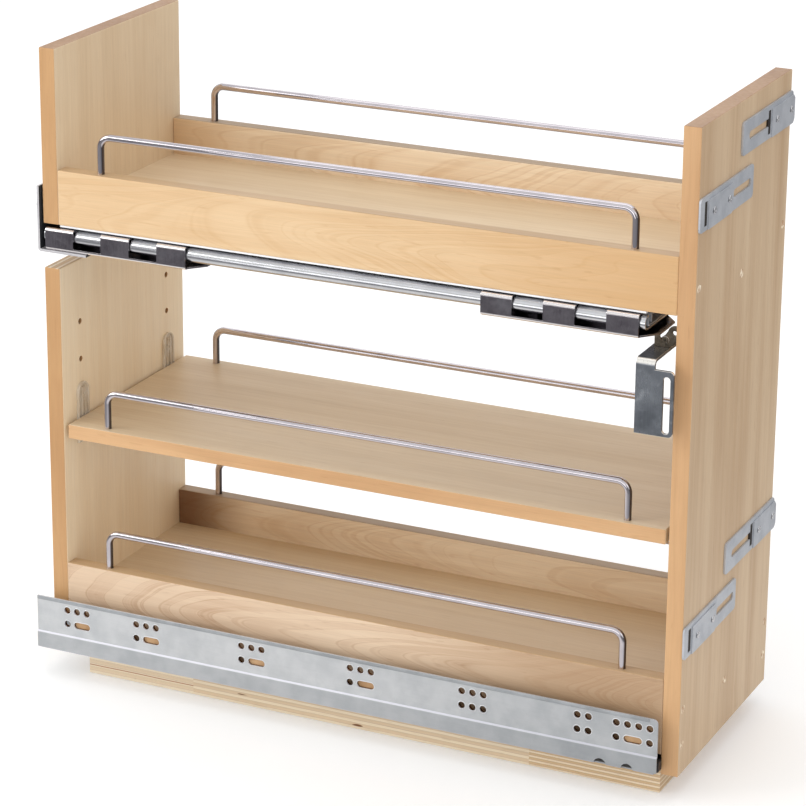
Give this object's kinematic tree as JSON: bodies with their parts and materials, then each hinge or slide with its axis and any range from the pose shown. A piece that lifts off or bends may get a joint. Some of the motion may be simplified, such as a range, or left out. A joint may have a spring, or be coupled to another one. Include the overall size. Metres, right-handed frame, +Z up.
{
  "type": "pull-out cabinet organiser",
  "caption": "Narrow three-tier wooden pull-out organiser with wire rails, concealed full-extension slides, an anti-sway rail and door brackets, for a kitchen base cabinet.",
  "frame": {"origin": "bottom centre of the whole object, on the surface the base stands on", "axes": "+X is the pull-out direction, towards the front panel; +Y from the near side to the far side; +Z up"},
  "size_m": [0.5626, 0.225, 0.53],
  "materials": {
    "birch_panel": "clear-coated birch veneer",
    "maple_rail": "clear-coated solid maple",
    "plywood": "raw plywood with bare edge plies",
    "chrome_wire": "bright chrome",
    "zinc_steel": "matt galvanised",
    "bright_steel": "bright zinc",
    "dark_steel": "dark oiled",
    "screw_steel": "bright",
    "black_plastic": "moulded",
    "clear_plastic": "clear moulded"
  },
  "bodies": {
    "cabinet_side": {"base_board_front": "plywood", "base_board_rear": "plywood", "base_strip_far": "plywood", "base_strip_near": "plywood", "slide_base_screws": "screw_steel", "slide_cabinet_member_far": "zinc_steel", "slide_cabinet_member_near": "zinc_steel", "slide_front_bumpers": "black_plastic", "slide_soft_close_far": "black_plastic", "slide_soft_close_near": "black_plastic", "stabilizer_bracket_front": "bright_steel", "stabilizer_bracket_rear": "bright_steel", "stabilizer_front_bracket": "zinc_steel", "stabilizer_front_hanger": "zinc_steel", "stabilizer_outer_rail": "bright_steel", "stabilizer_rear_bolt": "screw_steel", "stabilizer_rear_plate": "zinc_steel", "stabilizer_rivets": "screw_steel"},
    "cart": {"bottom_tray_floor": "birch_panel", "bottom_tray_rail_far": "maple_rail", "bottom_tray_rail_near": "maple_rail", "door_bracket_plate_lower_far": "zinc_steel", "door_bracket_plate_lower_near": "zinc_steel", "door_bracket_plate_upper_far": "zinc_steel", "door_bracket_plate_upper_near": "zinc_steel", "door_bracket_screws": "screw_steel", "front_panel": "birch_panel", "middle_shelf": "birch_panel", "panel_screws": "screw_steel", "rear_panel_lower": "birch_panel", "rear_panel_upper": "birch_panel", "shelf_clips": "clear_plastic", "slide_drawer_member_far": "zinc_steel", "slide_drawer_member_near": "zinc_steel", "slide_tray_screws": "screw_steel", "stabilizer_inner_rail": "zinc_steel", "stabilizer_inner_screws": "screw_steel", "stabilizer_tray_plate": "zinc_steel", "top_tray_floor": "birch_panel", "top_tray_rail_far": "maple_rail", "top_tray_rail_near": "maple_rail", "wire_bottom_far": "chrome_wire", "wire_bottom_near": "chrome_wire", "wire_middle_far": "chrome_wire", "wire_middle_near": "chrome_wire", "wire_top_far": "chrome_wire", "wire_top_near": "chrome_wire"},
    "slide_middle_near": {"slide_mid_member_near": "zinc_steel"},
    "slide_lower_cage_near": {"slide_cage_lower_near": "dark_steel"},
    "slide_upper_cage_near": {"slide_cage_upper_near": "dark_steel"},
    "slide_middle_far": {"slide_mid_member_far": "zinc_steel"},
    "slide_lower_cage_far": {"slide_cage_lower_far": "dark_steel"},
    "slide_upper_cage_far": {"slide_cage_upper_far": "dark_steel"},
    "stabilizer_middle": {"stabilizer_mid_rail": "zinc_steel"},
    "stabilizer_outer_cage": {"stabilizer_cage_outer": "dark_steel"},
    "stabilizer_inner_cage": {"stabilizer_cage_inner": "dark_steel"},
    "door_adjuster_upper_near": {"door_bracket_adjuster_upper_near": "zinc_steel"},
    "door_adjuster_upper_far": {"door_bracket_adjuster_upper_far": "zinc_steel"},
    "door_adjuster_lower_near": {"door_bracket_adjuster_lower_near": "zinc_steel"},
    "door_adjuster_lower_far": {"door_bracket_adjuster_lower_far": "zinc_steel"}
  },
  "joints": [
    {"name": "cart_pull_out", "type": "slide", "parent": "cabinet_side", "child": "cart", "axis": [1, 0, 0], "range_m": [0, 0.53]},
    {"name": "slide_middle_near_run", "type": "slide", "parent": "cabinet_side", "child": "slide_middle_near", "axis": [1, 0, 0], "range_m": [0, 0.265]},
    {"name": "slide_lower_cage_near_run", "type": "slide", "parent": "cabinet_side", "child": "slide_lower_cage_near", "axis": [1, 0, 0], "range_m": [0, 0.1325]},
    {"name": "slide_upper_cage_near_run", "type": "slide", "parent": "cabinet_side", "child": "slide_upper_cage_near", "axis": [1, 0, 0], "range_m": [0, 0.3975]},
    {"name": "slide_middle_far_run", "type": "slide", "parent": "cabinet_side", "child": "slide_middle_far", "axis": [1, 0, 0], "range_m": [0, 0.265]},
    {"name": "slide_lower_cage_far_run", "type": "slide", "parent": "cabinet_side", "child": "slide_lower_cage_far", "axis": [1, 0, 0], "range_m": [0, 0.1325]},
    {"name": "slide_upper_cage_far_run", "type": "slide", "parent": "cabinet_side", "child": "slide_upper_cage_far", "axis": [1, 0, 0], "range_m": [0, 0.3975]},
    {"name": "stabilizer_middle_run", "type": "slide", "parent": "cabinet_side", "child": "stabilizer_middle", "axis": [1, 0, 0], "range_m": [0, 0.265]},
    {"name": "stabilizer_outer_cage_run", "type": "slide", "parent": "cabinet_side", "child": "stabilizer_outer_cage", "axis": [1, 0, 0], "range_m": [0, 0.1325]},
    {"name": "stabilizer_inner_cage_run", "type": "slide", "parent": "cabinet_side", "child": "stabilizer_inner_cage", "axis": [1, 0, 0], "range_m": [0, 0.3975]},
    {"name": "door_adjuster_upper_near_shift", "type": "slide", "parent": "cart", "child": "door_adjuster_upper_near", "axis": [0, 1, 0], "range_m": [-0.002, 0.002]},
    {"name": "door_adjuster_upper_far_shift", "type": "slide", "parent": "cart", "child": "door_adjuster_upper_far", "axis": [0, 1, 0], "range_m": [-0.002, 0.002]},
    {"name": "door_adjuster_lower_near_shift", "type": "slide", "parent": "cart", "child": "door_adjuster_lower_near", "axis": [0, 1, 0], "range_m": [-0.002, 0.002]},
    {"name": "door_adjuster_lower_far_shift", "type": "slide", "parent": "cart", "child": "door_adjuster_lower_far", "axis": [0, 1, 0], "range_m": [-0.002, 0.002]}
  ],
  "couplings": [
    {"joint": "slide_middle_near_run", "follows": "cart_pull_out", "ratio": 0.5},
    {"joint": "slide_lower_cage_near_run", "follows": "cart_pull_out", "ratio": 0.25},
    {"joint": "slide_upper_cage_near_run", "follows": "cart_pull_out", "ratio": 0.75},
    {"joint": "slide_middle_far_run", "follows": "cart_pull_out", "ratio": 0.5},
    {"joint": "slide_lower_cage_far_run", "follows": "cart_pull_out", "ratio": 0.25},
    {"joint": "slide_upper_cage_far_run", "follows": "cart_pull_out", "ratio": 0.75},
    {"joint": "stabilizer_middle_run", "follows": "cart_pull_out", "ratio": 0.5},
    {"joint": "stabilizer_outer_cage_run", "follows": "cart_pull_out", "ratio": 0.25},
    {"joint": "stabilizer_inner_cage_run", "follows": "cart_pull_out", "ratio": 0.75}
  ]
}
